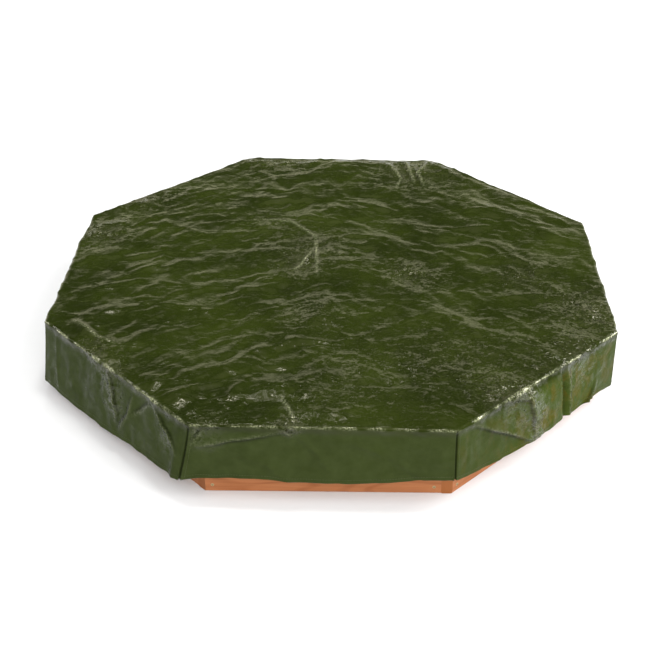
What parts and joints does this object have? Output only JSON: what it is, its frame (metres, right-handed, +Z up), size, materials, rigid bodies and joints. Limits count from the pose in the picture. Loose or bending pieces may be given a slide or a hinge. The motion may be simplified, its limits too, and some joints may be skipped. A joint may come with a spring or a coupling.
{
  "type": "sandbox with cover",
  "caption": "Octagonal timber sandbox with mitred seat boards, under a fitted tarpaulin cover that lifts off.",
  "frame": {"origin": "on the ground at the centre of the octagon", "axes": "+Z up; side 1 of the octagon faces -Y, and sides are numbered anticlockwise from above"},
  "size_m": [1.4, 1.4, 0.2033],
  "materials": {
    "stained_timber": "stained fir, satin",
    "inner_timber": "sawn and planed fir, matte",
    "zinc_screws": "yellow zinc",
    "staple_wire": "galvanised",
    "fleece": "non-woven fleece, matte",
    "tarpaulin": "coated polyethylene tarpaulin, glossy"
  },
  "bodies": {
    "frame": {"plank_lower_1": "stained_timber", "plank_lower_2": "stained_timber", "plank_lower_3": "stained_timber", "plank_lower_4": "stained_timber", "plank_lower_5": "stained_timber", "plank_lower_6": "stained_timber", "plank_lower_7": "stained_timber", "plank_lower_8": "stained_timber", "plank_upper_1": "stained_timber", "plank_upper_2": "stained_timber", "plank_upper_3": "stained_timber", "plank_upper_4": "stained_timber", "plank_upper_5": "stained_timber", "plank_upper_6": "stained_timber", "plank_upper_7": "stained_timber", "plank_upper_8": "stained_timber", "corner_post_1": "inner_timber", "corner_post_2": "inner_timber", "corner_post_3": "inner_timber", "corner_post_4": "inner_timber", "corner_post_5": "inner_timber", "corner_post_6": "inner_timber", "corner_post_7": "inner_timber", "corner_post_8": "inner_timber", "seat_bracket_1": "inner_timber", "seat_bracket_2": "inner_timber", "seat_bracket_3": "inner_timber", "seat_bracket_4": "inner_timber", "seat_bracket_5": "inner_timber", "seat_bracket_6": "inner_timber", "seat_bracket_7": "inner_timber", "seat_bracket_8": "inner_timber", "seat_board_1": "stained_timber", "seat_board_2": "stained_timber", "seat_board_3": "stained_timber", "seat_board_4": "stained_timber", "seat_board_5": "stained_timber", "seat_board_6": "stained_timber", "seat_board_7": "stained_timber", "seat_board_8": "stained_timber", "wall_screws": "zinc_screws", "bracket_screws": "zinc_screws", "seat_screws": "zinc_screws", "ground_liner": "fleece", "liner_staples": "staple_wire"},
    "cover": {"cover_top": "tarpaulin", "cover_skirt_1": "tarpaulin", "cover_skirt_2": "tarpaulin", "cover_skirt_3": "tarpaulin", "cover_skirt_4": "tarpaulin", "cover_skirt_5": "tarpaulin", "cover_skirt_6": "tarpaulin", "cover_skirt_7": "tarpaulin", "cover_skirt_8": "tarpaulin"}
  },
  "joints": [
    {"name": "cover_lift", "type": "slide", "parent": "frame", "child": "cover", "axis": [0, 0, 1], "range_m": [0, 0.3]}
  ]
}
